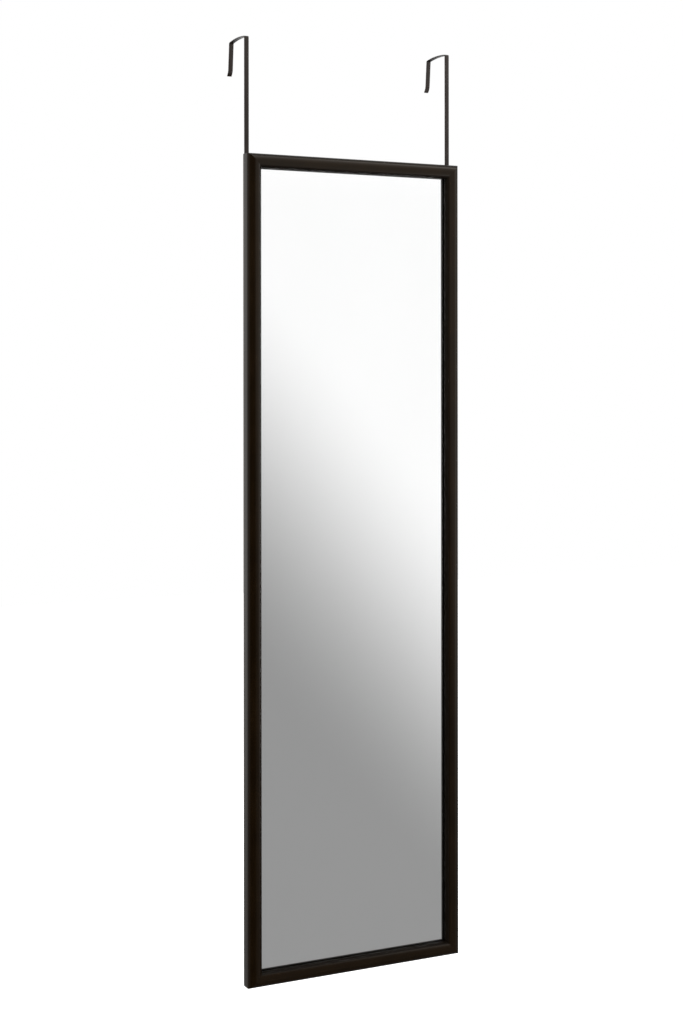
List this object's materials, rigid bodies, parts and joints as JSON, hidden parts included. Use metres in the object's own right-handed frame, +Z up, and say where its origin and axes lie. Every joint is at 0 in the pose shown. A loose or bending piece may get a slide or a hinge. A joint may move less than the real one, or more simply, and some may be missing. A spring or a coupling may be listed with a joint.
{
  "type": "over the door mirror",
  "caption": "Tall narrow framed mirror with a dark round-nosed moulding, hung over a door by two bent flat-steel straps.",
  "frame": {"origin": "middle of the door's top edge, between the two hooks: x = 0 is the mirror's plane of symmetry, y = 0 is the door's face that the pads rest on, z = 0 is the door's top that the hook bars bear on", "axes": "+X to the viewer's right, +Y into the door (the glass faces -Y), +Z up"},
  "size_m": [0.3466, 0.0949, 1.3739],
  "materials": {
    "moulding": "satin espresso film, faint fine grain",
    "glass": "clear float glass, polished",
    "silver": "silvered, grey paint behind",
    "card": "brown corrugated card",
    "hardboard": "brown hardboard, screen-pressed back",
    "hook_steel": "satin dark bronze powder coat",
    "zinc_steel": "bright zinc plate",
    "felt": "pressed felt"
  },
  "bodies": {
    "root": {"top_rail": "moulding", "bottom_rail": "moulding", "left_stile": "moulding", "right_stile": "moulding", "mirror_glass": "glass", "silvering": "silver", "packing_card": "card", "backing_board": "hardboard", "left_hook": "hook_steel", "right_hook": "hook_steel", "left_hook_screws": "zinc_steel", "right_hook_screws": "zinc_steel", "top_left_v_nails": "zinc_steel", "top_right_v_nails": "zinc_steel", "bottom_left_v_nails": "zinc_steel", "bottom_right_v_nails": "zinc_steel", "top_staples": "zinc_steel", "bottom_staples": "zinc_steel", "left_staples": "zinc_steel", "right_staples": "zinc_steel", "upper_left_pad": "felt", "upper_right_pad": "felt", "lower_left_pad": "felt", "lower_right_pad": "felt"}
  },
  "joints": []
}
